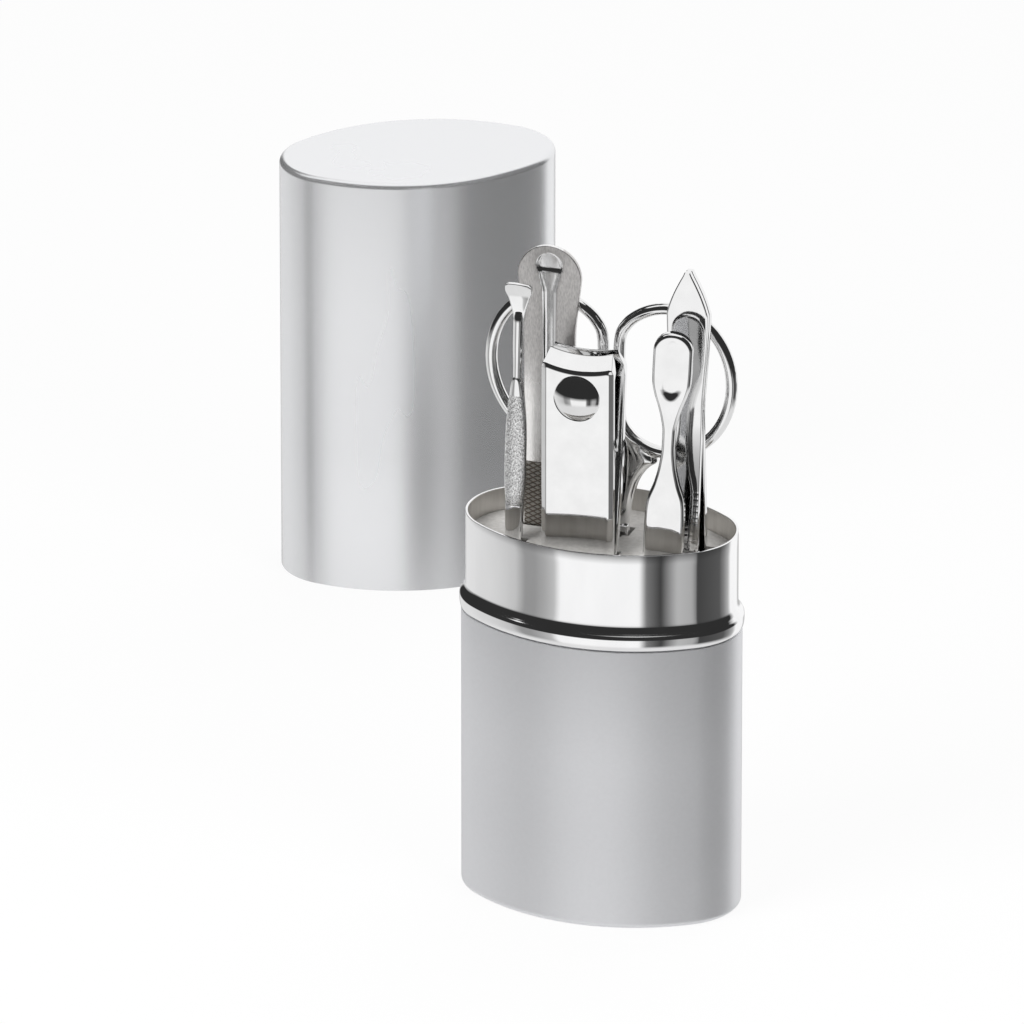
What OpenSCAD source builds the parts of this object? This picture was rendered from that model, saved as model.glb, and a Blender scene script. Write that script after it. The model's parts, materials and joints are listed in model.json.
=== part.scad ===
// Oval manicure case: the tools stand in the base, and the lid stands beside it, taken off.
// Origin at the middle of the foot, X along the oval's long axis, Z up, in millimetres.

/* [Case outline] */
// Width of the case, along the long axis of the oval
case_w = 46; // [44:0.5:50]
// Depth of the case, across the long axis
case_d = 29.4; // [28:0.2:32]

/* [Base shell] */
// Height of the base shell, from foot to seam
base_h = 47.9; // [46:0.1:56]
// Wall of the base shell
base_wall = 1; // [0.8:0.05:1.1]
// Floor of the base shell
base_floor = 1; // [0.8:0.1:1.4]
// Rounding of the lower edge
foot_round = 1; // [0.5:0.1:1.2]

/* [Collar] */
// Height of the collar above the seam
collar_h = 16.4; // [14:0.1:20]
// How far the collar's wall stands inside the shells' outer face
collar_inset = 0.7; // [0.65:0.05:0.9]
// Thickness of the collar's sheet
collar_sheet = 0.4; // [0.3:0.05:0.5]
// Radius of the rounded bead on the seam
bead_r = 1.3; // [1.1:0.05:1.5]
// How far the bead stands out past the base shell
bead_proud = 0.3; // [0.1:0.05:0.5]
// Radius of the hollow curve from the bead up to the wall
flare_r = 3; // [2:0.1:4]
// Length of the sleeve inside the base shell
sleeve_len = 7; // [5:0.5:10]

/* [Lid] */
// Height of the lid
lid_h = 72.7; // [70:0.1:80]
// Wall of the lid
lid_wall = 0.6; // [0.5:0.05:0.6]
// Thickness of the lid's top
lid_top = 1; // [0.8:0.1:1.4]
// Rounding of the lid's upper edge
lid_round = 1.5; // [0.8:0.1:1.5]
// How far the lid stands left of the base
lid_left = 72.2; // [60:0.1:90]
// How far the lid stands behind the base
lid_back = 118; // [100:0.5:140]
// How far the lid is turned from the base
lid_turn = 29.6; // [0:0.1:90]

/* [Tool holder] */
// Depth of the holder's top face below the rim
recess = 3.8; // [3:0.1:5]
// Thickness of the holder's top plate
plate_t = 1.6; // [1.2:0.1:2]
// Thickness of the holder's skirt
skirt_t = 1; // [0.8:0.1:1.4]
// Room between a tool and its slot
slot_gap = 0.3; // [0.2:0.05:0.4]
// Wall of the pocket that holds the clipper
pocket_wall = 0.8; // [0.6:0.1:1]
// Thickness of the lower insert's plate
insert_t = 1.6; // [1.2:0.1:2.4]
// Width of the stands on the lower insert
stand_w = 5; // [4:0.1:6]
// Depth of the stands on the lower insert
stand_d = 3.4; // [3:0.1:4]

/* [Nail file] */
// Length of the nail file
file_len = 102; // [98:0.5:106]
// How far the file stands above the rim
file_above = 44.3; // [42:0.1:48]
// Width of the file's round head
file_head_w = 10.5; // [10:0.1:11]
// Width of the file's blade
file_w = 8.5; // [8:0.1:9]
// Thickness of the file
file_t = 0.8; // [0.7:0.05:1]
// Width of the pressed groove in the head
file_groove_w = 4.5; // [3.5:0.1:5]
// Length of the pressed groove
file_groove_len = 16; // [12:0.5:20]

/* [Cuticle pusher] */
// Length of the cuticle pusher
pusher_len = 97; // [93:0.5:100]
// How far the pusher stands above the rim
pusher_above = 40.3; // [38:0.1:43]
// Width of the pusher's handle
pusher_w = 3.5; // [3:0.1:3.8]
// Thickness of the pusher's handle
pusher_t = 1.8; // [1.6:0.1:2.2]
// Width of the pusher's curved blade
pusher_tip_w = 4.4; // [3.8:0.1:5]
// Diameter of the pusher's neck
pusher_neck_d = 1.7; // [1.4:0.1:1.8]
// Lean of the pusher to the right
pusher_lean = 1.26; // [0:0.02:1.8]

/* [Cuticle trimmer] */
// Length of the cuticle trimmer
trimmer_len = 88; // [85:0.5:92]
// How far the trimmer stands above the rim
trimmer_above = 35.7; // [33:0.1:38]
// Width of the trimmer's thumb rest
trimmer_head_w = 6.1; // [5.6:0.1:6.5]
// Width of the trimmer's waist
trimmer_waist_w = 1.9; // [1.7:0.1:2.4]
// Width of the trimmer's body
trimmer_w = 6.2; // [5.6:0.1:6.6]
// Thickness of the trimmer
trimmer_t = 2; // [1.6:0.1:2.1]
// Depth of the hollow in the thumb rest
trimmer_dish = 0.6; // [0.3:0.05:0.8]
// Lean of the trimmer to the right
trimmer_lean = 2.6; // [0:0.1:3]
// Turn of the trimmer about the upright
trimmer_turn = 8; // [0:1:10]

/* [Tweezers] */
// Length of the tweezers
tweezers_len = 93; // [90:0.5:97]
// How far the tweezers stand above the rim
tweezers_above = 44.8; // [42:0.1:48]
// Width of the tweezers
tweezers_w = 6.8; // [6:0.1:7]
// Width of each arm's tip
tweezers_tip_w = 2.4; // [1.5:0.1:3]
// Thickness of each arm
tweezers_t = 1; // [0.8:0.05:1.1]
// Length of the tail, where the two arms are joined
tweezers_tail = 24; // [22:0.5:26]
// Opening between the two arms below the bow
tweezers_gap = 3.2; // [2.8:0.1:3.4]
// Distance between two grooves of the grip
groove_step = 1; // [0.8:0.1:1.2]

/* [Nail clipper] */
// Length of the nail clipper
clipper_len = 50.6; // [49:0.1:52]
// How far the clipper stands above the rim
clipper_above = 30.3; // [29:0.1:32]
// Width of the clipper
clipper_w = 12; // [11:0.1:12.4]
// Thickness of each arm
clipper_t = 1.1; // [1:0.05:1.2]
// Depth over both arms at the shoulder
clipper_deep = 7.2; // [6.9:0.1:7.4]
// Opening between the two jaws
jaw_gap = 2.3; // [2.3:0.1:2.5]
// Angle through which the back arm is squeezed
clipper_squeeze = 2.4; // [1.5:0.1:2.4]
// Radius of the clipper's domed head
dome_r = 3.8; // [3.4:0.1:4]
// Radius of the post through both arms
post_r = 1.6; // [1.4:0.05:1.7]
// Width of the lever
lever_w = 8; // [7:0.1:8.4]
// Length of the lever from the post to its end
lever_len = 26.4; // [24:0.1:26.6]
// Thickness of the lever
lever_t = 0.9; // [0.8:0.05:0.95]

/* [Nail scissors] */
// Height of the scissors' rings above the rim
scissors_above = 36.3; // [35:0.1:38]
// Outer width of each finger ring
ring_w = 20.6; // [20:0.1:20.8]
// Outer height of each finger ring
ring_h = 26.6; // [25:0.1:28]
// Thickness of each finger ring
ring_d = 2; // [1.8:0.05:2.2]
// Distance from the rings' foot down to the pivot
shank_len = 20; // [19:0.1:22]
// Length of the blades below the pivot
blade_len = 37.5; // [34:0.5:40]
// Half width of the shanks and of the blades at the pivot
shank_w = 3; // [2.7:0.05:3.1]
// Thickness of each half where the two lap
lap_t = 1.4; // [1.2:0.05:1.5]
// Angle that the scissors open to inside the case
scissors_open = 22; // [15:1:23]
// Radius of the pivot screw's head
screw_r = 2; // [1.8:0.05:2.1]

/* [Hidden] */
$fn = 96;

// Overrun of every cut, and clearances
over = 1;
fit_gap = 0.05;
seat_gap = 0.3;
face_gap = 0.1;

// The oval is four arcs: two round ends and two long sides that meet them smoothly
// Where they meet, the centres lie on a line that rises by 4 for each 3 along, so its length is 5
half_w = case_w / 2;
half_d = case_d / 2;
run_share = 3 / 5;
rise_share = 4 / 5;
flat_share = (1 - rise_share) / run_share;
end_r = (half_d - flat_share * half_w) / (1 - flat_share);
end_x = half_w - end_r;
side_y = end_x * rise_share / run_share;
side_r = side_y + half_d;
wedge_corner = [4 * end_x, 4 * end_x];

// Heights of the case
rim_z = base_h + collar_h;
plate_z = rim_z - recess;
plate_low = plate_z - plate_t;
insert_z = base_floor + insert_t;
bead_z = base_h + bead_r;
bead_x = bead_proud - bead_r;
wall_out = -collar_inset;
wall_in = wall_out - collar_sheet;
flare_sink = collar_sheet / 20;
flare_x = wall_out - flare_sink + flare_r;
flare_z = bead_z + sqrt(pow(flare_r + bead_r, 2) - pow(flare_x - bead_x, 2));
meet_share = bead_r / (bead_r + flare_r);
meet_x = bead_x + meet_share * (flare_x - bead_x);
meet_z = bead_z + meet_share * (flare_z - bead_z);
sleeve_out = -base_wall - fit_gap;
sleeve_in = sleeve_out - collar_sheet;
skirt_out = wall_in - fit_gap;
ledge_z = base_h + collar_sheet;

// Where each tool stands, as shares of the oval's half width and half depth
file_place_shares = [-0.424, 0.187];
pusher_place_shares = [-0.58, -0.34];
trimmer_place_shares = [0.524, -0.405];
tweezers_place_shares = [0.617, -0.031];
clipper_place_shares = [-0.087, -0.449];
scissors_place_shares = [0, 0.35];
function place(shares) = [shares[0] * half_w, shares[1] * half_d, 0];

// Heights of the tools
file_top = rim_z + file_above;
file_low = file_top - file_len;
pusher_top = rim_z + pusher_above;
pusher_low = pusher_top - pusher_len;
trimmer_top = rim_z + trimmer_above;
trimmer_low = trimmer_top - trimmer_len;
tweezers_top = rim_z + tweezers_above;
tweezers_low = tweezers_top - tweezers_len;
tweezers_root = tweezers_top - tweezers_tail;
clipper_top = rim_z + clipper_above;
clipper_low = clipper_top - clipper_len;
ring_top = rim_z + scissors_above;
ring_foot = ring_top - ring_h;
pivot_z = ring_foot - shank_len;
blade_low = pivot_z - blade_len;

// Pressed details of the file and the trimmer
file_dish = file_t / 3;
file_shoulder = file_head_w;
file_press_share = 0.745;
dish_rim_share = 0.17;
dish_rim = trimmer_head_w * dish_rim_share;

// Bow and grip of the tweezers
tweezers_bow = (tweezers_gap - face_gap) / 2;
tweezers_deep = 2 * tweezers_t + face_gap;
groove_count = 11;
grooves_above = 11;
groove_z = plate_z + grooves_above * groove_step;

// Clipper, with its own front face as zero and its height counted from the case's foot
jaw_rise_share = 2.5;
shoulder_z = clipper_top - jaw_rise_share * clipper_t;
jaw_bevel = clipper_t / 2;
post_drop_share = 1.2;
post_z = shoulder_z - post_drop_share * dome_r;
tail_share = 3;
tail_z = clipper_low + tail_share * clipper_t;
bend_low = plate_low + face_gap;
bend_high = (bend_low + shoulder_z) / 2;
jaw_mid = clipper_deep / 2;
front_edge = jaw_mid - jaw_gap / 2;
back_edge = jaw_mid + jaw_gap / 2;
tail_in = clipper_t + face_gap;
tail_out = tail_in + clipper_t;
bend_in = tail_in + (bend_low - tail_z) * tan(clipper_squeeze);
bend_share = 0.72;
bend_out = tail_out + bend_share * (clipper_deep - tail_out);
jaw_sag = 0.8;
jaw_half = clipper_w / 2 - jaw_sag;
jaw_r = (jaw_half * jaw_half + jaw_sag * jaw_sag) / (2 * jaw_sag);
dome_h = 1.5;
dome_sphere = (dome_r * dome_r + dome_h * dome_h) / (2 * dome_h);
rivet_r = 1.2;
rivet_head_r = 2;
rivet_head_t = 0.4;
rivet_back = tail_out + 2 * face_gap;
lever_y = clipper_deep + seat_gap;
cap_r = 2.2;
cap_t = 0.7;
cap_y = lever_y + lever_t + face_gap;
pin_r = 0.25;
pin_y_mid = cap_y + cap_t / 2;
ear_t = 0.7;
ear_in = cap_r + face_gap;
ear_out = ear_in + ear_t;

// Scissors, about their pivot
ring_out_r = ring_w / 2;
ring_mid_r = ring_out_r - ring_d / 2;
ring_in_r = ring_out_r - ring_d;
part_gap = 0.15;
ring_x = ring_out_r + part_gap;
ring_low_z = shank_len + ring_out_r;
ring_straight = ring_h - ring_w;
lap_low = fit_gap;
lap_high = fit_gap + lap_t;
neck_z = plate_z - pivot_z + face_gap;
split_z = neck_z + lap_t;
waist_r = (pow(ring_x - shank_w, 2) + pow(ring_low_z - split_z, 2) - ring_out_r * ring_out_r)
    / (2 * (ring_out_r + ring_x - shank_w));
disc_r = shank_w + fit_gap;
screw_shaft_r = 1;
screw_head_t = 0.7;
blade_tip_w = 0.5;

// Mirrors a right-hand outline to the left, so that it closes
function both_sides(half) =
    concat(half, [for (i = [len(half) - 1 : -1 : 0]) [-half[i][0], half[i][1]]]);

// The oval, drawn in by an inset
module oval(inset) {
    tangent_x = end_x + (end_r - inset) * run_share;
    intersection() {
        translate([0, -side_y]) circle(side_r - inset);
        translate([0, side_y]) circle(side_r - inset);
        square([2 * tangent_x, case_d], center = true);
    }
    for (side = [-1, 1]) translate([side * end_x, 0]) circle(end_r - inset);
}

// An upright oval solid between two heights
module oval_solid(inset, low, high) {
    translate([0, 0, low]) linear_extrude(high - low) oval(inset);
}

// An oval ring between two heights
module oval_ring(out, wall, low, high) {
    difference() {
        oval_solid(out, low, high);
        oval_solid(out + wall, low - over, high + over);
    }
}

// An upright wedge that holds one arc of the oval
module wedge(outline) {
    translate([0, 0, -case_w]) linear_extrude(case_w + rim_z) polygon(outline);
}

// Sweeps a profile round the oval; the profile's x counts outwards from the outline
module around_oval() {
    far = wedge_corner;
    for (half = [0, 180]) rotate([0, 0, half]) {
        intersection() {
            translate([end_x, 0, 0]) rotate_extrude() translate([end_r, 0]) children();
            wedge([[end_x, 0], [far[0], -far[1]], far]);
        }
        intersection() {
            translate([0, -side_y, 0]) rotate_extrude() translate([side_r, 0]) children();
            wedge([[end_x, 0], far, [-far[0], far[1]], [-end_x, 0]]);
        }
    }
}

// What a rounded lower edge takes off, as a profile for the sweep
module edge_cut(r) {
    difference() {
        translate([-r, -over]) square([r + over, r + over]);
        translate([-r, r]) circle(r);
    }
}

// A plate with its outline in X and Z, between two depths
module upright_plate(outline, front, back) {
    translate([0, back, 0]) rotate([90, 0, 0]) linear_extrude(back - front) polygon(outline);
}

// A bar with its outline in Y and Z, of a width along X
module side_bar(outline, wide) {
    translate([-wide / 2, 0, 0]) rotate([90, 0, 90]) linear_extrude(wide) polygon(outline);
}

// A round bar along Y
module pin_y(r, front, back) {
    translate([0, back, 0]) rotate([90, 0, 0]) cylinder(r = r, h = back - front);
}

module base_shell() {
    color("silver") difference() {
        oval_solid(0, 0, base_h);
        oval_solid(base_wall, base_floor, base_h + over);
        around_oval() edge_cut(foot_round);
    }
}

// The bead and the hollow curve above it, from the middle of the sheet outwards
module bead_profile() {
    core = wall_out - collar_sheet / 2;
    translate([core, base_h]) square([bead_x + bead_r / 2 - core, bead_r / 2]);
    intersection() {
        translate([bead_x, bead_z]) circle(bead_r);
        translate([core, base_h]) square([2 * bead_r, 2 * bead_r]);
    }
    difference() {
        polygon([[core, bead_z], [meet_x, meet_z], [meet_x, flare_z], [core, flare_z]]);
        translate([flare_x, flare_z]) circle(flare_r);
    }
}

module collar() {
    color("gainsboro") {
        oval_ring(-wall_out, collar_sheet, base_h, rim_z);
        oval_ring(-wall_out, wall_out - sleeve_in, base_h, ledge_z);
        oval_ring(-sleeve_out, collar_sheet, base_h - sleeve_len, ledge_z);
        around_oval() bead_profile();
    }
}

module lid_shell() {
    color("silver") translate([-lid_left, lid_back, 0]) rotate([0, 0, lid_turn]) difference() {
        oval_solid(0, 0, lid_h);
        oval_solid(lid_wall, -over, lid_h - lid_top);
        translate([0, 0, lid_h]) mirror([0, 0, 1]) around_oval() edge_cut(lid_round);
    }
}

// A slot through the holder's plate, from front to back in the tool's own depth
module slot(wide, front, back) {
    translate([-wide / 2 - slot_gap, front - slot_gap, plate_low - over])
        cube([wide + 2 * slot_gap, back - front + 2 * slot_gap, plate_t + 2 * over]);
}

module clipper_pocket(inside) {
    wall = inside ? 0 : pocket_wall;
    deep = rivet_back + 3 * rivet_head_t;
    low = clipper_low - seat_gap;
    high = inside ? plate_z + over : plate_low;
    translate([-clipper_w / 2 - slot_gap - wall, -rivet_head_t - slot_gap - wall, low - wall])
        cube([clipper_w + 2 * (slot_gap + wall), deep + 2 * (slot_gap + wall), high - low + wall]);
}

// The scissors' slot leaves room for the left half to swing and for the screw to pass
module scissors_slot() {
    reach = (plate_z - pivot_z) * tan(scissors_open) + shank_w / cos(scissors_open);
    translate([-reach - slot_gap, -lap_high - slot_gap, plate_low - over])
        cube([reach + disc_r + 2 * slot_gap, 2 * (lap_high + slot_gap), plate_t + 2 * over]);
    slot(2 * screw_r, -lap_high - screw_head_t, lap_high);
}

module tool_holder() {
    color("whitesmoke") difference() {
        union() {
            oval_solid(-skirt_out, plate_low, plate_z);
            oval_ring(-skirt_out, skirt_t, ledge_z + fit_gap, plate_low);
            translate(place(clipper_place_shares)) clipper_pocket(false);
        }
        translate(place(clipper_place_shares)) clipper_pocket(true);
        translate(place(file_place_shares)) slot(file_w, 0, file_t);
        pusher_at() slot(pusher_w, 0, pusher_t);
        trimmer_at() slot(trimmer_w, 0, trimmer_t);
        tweezers_at() slot(tweezers_w, -tweezers_bow, tweezers_deep + tweezers_bow);
        translate(place(scissors_place_shares)) scissors_slot();
    }
}

// A stand on the lower insert, up to the foot of one tool
module stand(middle, top) {
    translate([-stand_w / 2, middle - stand_d / 2, insert_z - over])
        cube([stand_w, stand_d, top - seat_gap - insert_z + over]);
}

module lower_insert() {
    color("whitesmoke") {
        oval_solid(base_wall + fit_gap, base_floor, insert_z);
        translate(place(file_place_shares)) stand(file_t / 2, file_low);
        translate(place(pusher_place_shares) + [(pusher_low - plate_z) * sin(pusher_lean), 0, 0])
            stand(pusher_t / 2, pusher_low);
        translate(place(trimmer_place_shares)) rotate([0, 0, trimmer_turn])
            translate([(trimmer_low - plate_z) * sin(trimmer_lean), 0, 0]) stand(trimmer_t / 2, trimmer_low);
        tweezers_at() stand(tweezers_deep / 2, tweezers_low);
        translate(place(scissors_place_shares)) stand(0, blade_low);
    }
}

module nail_file() {
    half = file_w / 2;
    head = file_head_w / 2;
    head_z = file_top - head;
    tip_z = file_low + half;
    press_z = file_top - file_press_share * file_groove_w;
    color("darkgray") translate(place(file_place_shares)) difference() {
        union() {
            upright_plate(both_sides([[half, tip_z], [half, head_z - file_shoulder],
                [head, head_z]]), 0, file_t);
            translate([0, 0, head_z]) pin_y(head, 0, file_t);
            translate([0, 0, tip_z]) pin_y(half, 0, file_t);
        }
        translate([0, 0, press_z]) pin_y(file_groove_w / 2, -over, file_dish);
        upright_plate(both_sides([[file_groove_w / 4, press_z - file_groove_len],
            [file_groove_w / 4, press_z - file_groove_w], [file_groove_w / 2, press_z]]), -over, file_dish);
    }
}

// Outline of the pusher's handle, as shares of its width and length from the lower end
pusher_outline_shares = [[0.45, 0], [0.7, 0.12], [0.77, 0.55], [0.85, 0.609], [0.97, 0.645], [1, 0.68],
    [1, 0.71], [0.98, 0.736], [0.87, 0.769], [0.69, 0.802], [0.4, 0.837]];
// Outline of the pusher's blade, as shares of the blade's width and of its length
pusher_blade_shares = [[0.36, 0], [0.75, 0.57], [1, 0.82], [0.96, 1]];
// Length of the blade and foot of the neck, as shares of the whole pusher
blade_share = 0.064;
neck_foot_share = 0.83;
// Thickness of the blade as a share of the neck, and its hollow as a share of its width
blade_t_share = 0.6;
blade_hollow_share = 1.6;

// Leans the pusher and stands it in its place
module pusher_at() {
    translate(place(pusher_place_shares) + [0, 0, plate_z]) rotate([0, pusher_lean, 0])
        translate([0, 0, -plate_z]) children();
}

module cuticle_pusher() {
    blade = blade_share * pusher_len;
    blade_z = pusher_top - blade;
    blade_t = pusher_neck_d * blade_t_share;
    neck_foot = pusher_low + pusher_len * neck_foot_share;
    dish_r = pusher_tip_w * blade_hollow_share;
    color("gainsboro") pusher_at() {
        upright_plate(both_sides([for (p = pusher_outline_shares)
            [p[0] * pusher_w / 2, pusher_low + p[1] * pusher_len]]), 0, pusher_t);
        translate([0, pusher_t / 2, neck_foot])
            cylinder(d = pusher_neck_d, h = blade_z - neck_foot + blade / 4);
        translate([0, pusher_t / 2, 0]) difference() {
            upright_plate(both_sides([for (p = pusher_blade_shares)
                [p[0] * pusher_tip_w / 2, blade_z + p[1] * blade]]), -blade_t / 2, blade_t / 2);
            translate([0, -dish_r, blade_z + blade / 2])
                cylinder(r = dish_r, h = blade);
        }
    }
}

// Half widths of the trimmer from the lower end up to the waist, as shares of the body's
trimmer_body_shares = [0.3, 0.95, 1, 0.99, 0.92, 0.6, 0.38];
// The same for the thumb rest above the waist, as shares of the head's
trimmer_head_shares = [0.41, 0.61, 0.85, 0.98, 1];
// Heights of all these points above the lower end, as shares of the trimmer's length
trimmer_rise_shares = [0, 0.06, 0.5, 0.656, 0.675, 0.71, 0.745, 0.778, 0.81, 0.832, 0.858, 0.882, 0.905, 0.96];

// Turns the trimmer about the upright, leans it and stands it in its place
module trimmer_at() {
    translate(place(trimmer_place_shares) + [0, 0, plate_z]) rotate([0, trimmer_lean, trimmer_turn])
        translate([0, 0, -plate_z]) children();
}

module cuticle_trimmer() {
    body = trimmer_w / 2;
    waist = trimmer_waist_w / 2;
    head = trimmer_head_w / 2;
    halves = concat([for (s = trimmer_body_shares) s * body], [waist, waist],
        [for (s = trimmer_head_shares) s * head]);
    dish = head - dish_rim;
    dish_high = trimmer_top - head;
    dish_foot = len(trimmer_body_shares) + 3;
    dish_low = trimmer_low + trimmer_rise_shares[dish_foot] * trimmer_len + dish_rim;
    color("gainsboro") trimmer_at() difference() {
        union() {
            upright_plate(both_sides([for (i = [0 : len(halves) - 1])
                [halves[i], trimmer_low + trimmer_rise_shares[i] * trimmer_len]]), 0, trimmer_t);
            translate([0, 0, dish_high]) pin_y(head, 0, trimmer_t);
        }
        translate([0, 0, dish_high]) pin_y(dish, -over, trimmer_dish);
        upright_plate(both_sides([[dish / 2, dish_low], [dish, dish_low + dish], [dish, dish_high]]),
            -over, trimmer_dish);
    }
}

// Outline of the tweezers' arms from the tip up, as shares of half the width and of the length
tweezers_outline_shares = [[0.62, 0.18], [0.7, 0.49], [0.73, 0.745], [0.81, 0.79], [0.94, 0.853], [1, 0.9],
    [1, 0.915], [0.92, 0.927], [0.7, 0.951], [0.42, 0.977], [0.14, 1]];

module tweezers_at() {
    translate(place(tweezers_place_shares)) children();
}

// What both arms share: the outline in front view, less the grip grooves on the bowed outer face
module tweezers_form(side) {
    arm = both_sides(concat([[tweezers_tip_w / 2, tweezers_low]],
        [for (p = tweezers_outline_shares)
            [p[0] * tweezers_w / 2, tweezers_low + p[1] * tweezers_len]]));
    deep = tweezers_t / 5;
    slope = tweezers_bow / (tweezers_root - plate_z);
    difference() {
        intersection() {
            upright_plate(arm, -tweezers_gap, tweezers_deep + over);
            side_bar(side, tweezers_w);
        }
        for (i = [0 : groove_count - 1]) {
            z = groove_z - groove_step * i;
            translate([-tweezers_w, -slope * (tweezers_root - z) - deep, z])
                cube([2 * tweezers_w, 2 * deep, groove_step / 3]);
        }
    }
}

// The front arm carries the whole joined tail
module tweezers_front_arm() {
    color("gainsboro") tweezers_at() tweezers_form([[-tweezers_bow, tweezers_low],
        [tweezers_t - tweezers_bow, tweezers_low], [tweezers_t - tweezers_bow, plate_z],
        [tweezers_t, tweezers_root], [tweezers_deep, tweezers_root], [tweezers_deep, tweezers_top],
        [0, tweezers_top], [0, tweezers_root], [-tweezers_bow, plate_z]]);
}

// The back arm is the front one turned to the back, from the root down
module tweezers_back_arm() {
    root = tweezers_root - face_gap;
    color("gainsboro") tweezers_at() translate([0, tweezers_deep, 0]) mirror([0, 1, 0])
        tweezers_form([[-tweezers_bow, tweezers_low], [tweezers_t - tweezers_bow, tweezers_low],
            [tweezers_t - tweezers_bow, plate_z], [tweezers_t, root], [0, root], [-tweezers_bow, plate_z]]);
}

module clipper_at() {
    translate(place(clipper_place_shares)) children();
}

// Front view of a clipper arm: straight sides, drawn in at the jaw, with a hollow cutting edge
module clipper_outline() {
    wide = clipper_w / 2;
    difference() {
        upright_plate(both_sides([[wide - clipper_t, clipper_low], [wide, clipper_low + clipper_t],
            [wide, shoulder_z], [jaw_half, clipper_top]]), -over, clipper_deep + over);
        translate([0, 0, clipper_top - jaw_sag + jaw_r]) pin_y(jaw_r, -2 * over, clipper_deep + 2 * over);
    }
}

module clipper_front_arm() {
    color("gainsboro") clipper_at() difference() {
        intersection() {
            clipper_outline();
            side_bar([[0, clipper_low], [clipper_t, clipper_low], [clipper_t, shoulder_z - clipper_t],
                [front_edge, clipper_top - clipper_t], [front_edge, clipper_top],
                [jaw_bevel, shoulder_z + jaw_bevel], [0, shoulder_z]], clipper_w);
        }
        translate([0, 0, post_z]) pin_y(post_r + fit_gap, -over, clipper_t + over);
        translate([0, 0, tail_z]) pin_y(rivet_r, -over, clipper_t + over);
    }
}

module clipper_back_arm() {
    back = clipper_deep;
    inner = back - clipper_t;
    color("gainsboro") clipper_at() difference() {
        intersection() {
            clipper_outline();
            side_bar([[tail_in, clipper_low], [tail_out, clipper_low], [tail_out, tail_z],
                [bend_in + clipper_t, bend_low], [bend_out, bend_high], [back, shoulder_z - clipper_t],
                [back - jaw_bevel, shoulder_z], [back_edge, clipper_top], [back_edge, clipper_top - clipper_t],
                [inner, shoulder_z - 2 * clipper_t], [bend_out - clipper_t, bend_high],
                [bend_in, bend_low], [tail_in, tail_z]], clipper_w);
        }
        translate([0, 0, post_z]) pin_y(post_r + seat_gap, 0, back + over);
        translate([0, 0, tail_z]) pin_y(rivet_r + 2 * face_gap, 0, tail_out + over);
    }
}

module clipper_tail_rivet() {
    color("silver") clipper_at() translate([0, 0, tail_z]) {
        pin_y(rivet_head_r, -rivet_head_t, 0);
        pin_y(rivet_r, 0, rivet_back);
        pin_y(rivet_head_r, rivet_back, rivet_back + rivet_head_t);
    }
}

// The post carries the domed head in front, and the lever behind on a cross pin
module clipper_post() {
    color("silver") clipper_at() translate([0, 0, post_z]) difference() {
        union() {
            intersection() {
                translate([0, dome_sphere - dome_h - fit_gap, 0]) sphere(dome_sphere);
                pin_y(dome_r, -dome_h - fit_gap, -fit_gap);
            }
            pin_y(post_r, -fit_gap, cap_y);
            pin_y(cap_r, cap_y, cap_y + cap_t);
        }
        translate([-cap_r - over, pin_y_mid, 0]) rotate([0, 90, 0])
            cylinder(r = pin_r, h = 2 * (cap_r + over));
    }
}

// A flat lever, waisted at the post, with two ears for the cross pin
module clipper_lever() {
    half = lever_w / 2;
    end_z = post_z - lever_len + half;
    back = lever_y + lever_t;
    color("gainsboro") clipper_at() difference() {
        union() {
            upright_plate(both_sides([[half, end_z], [half, post_z - half], [ear_out, post_z - cap_r],
                [ear_out, post_z + cap_r], [cap_r, post_z + half]]), lever_y, back);
            translate([0, 0, end_z]) pin_y(half, lever_y, back);
            for (x = [-ear_out, ear_in]) translate([x, lever_y, post_z - cap_t])
                cube([ear_t, cap_y + cap_t - lever_y, 2 * cap_t]);
        }
        translate([0, 0, post_z]) pin_y(post_r + fit_gap, lever_y - over, back + over);
        translate([-ear_out - over, pin_y_mid, post_z]) rotate([0, 90, 0])
            cylinder(r = pin_r, h = 2 * (ear_out + over));
    }
}

module clipper_lever_pin() {
    color("silver") clipper_at() translate([-ear_out, pin_y_mid, post_z])
        rotate([0, 90, 0]) cylinder(r = pin_r, h = 2 * ear_out);
}

module scissors_at() {
    translate(place(scissors_place_shares) + [0, 0, pivot_z]) children();
}

// One finger ring: two round halves joined by straight sides
module finger_ring() {
    for (end = [0, 1]) translate([ring_x, 0, ring_low_z + end * ring_straight])
        rotate([90, 0, 0]) rotate([0, 0, end * 180 - 180]) rotate_extrude(angle = 180)
            translate([ring_mid_r, 0]) circle(d = ring_d, $fn = 48);
    for (side = [-1, 1]) translate([ring_x + side * ring_mid_r, 0, ring_low_z])
        cylinder(d = ring_d, h = ring_straight, $fn = 48);
}

// The hollow inside the ring
module ring_hole(out) {
    for (end = [0, 1]) translate([ring_x, 0, ring_low_z + end * ring_straight])
        pin_y(ring_mid_r, -out, out);
}

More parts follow.
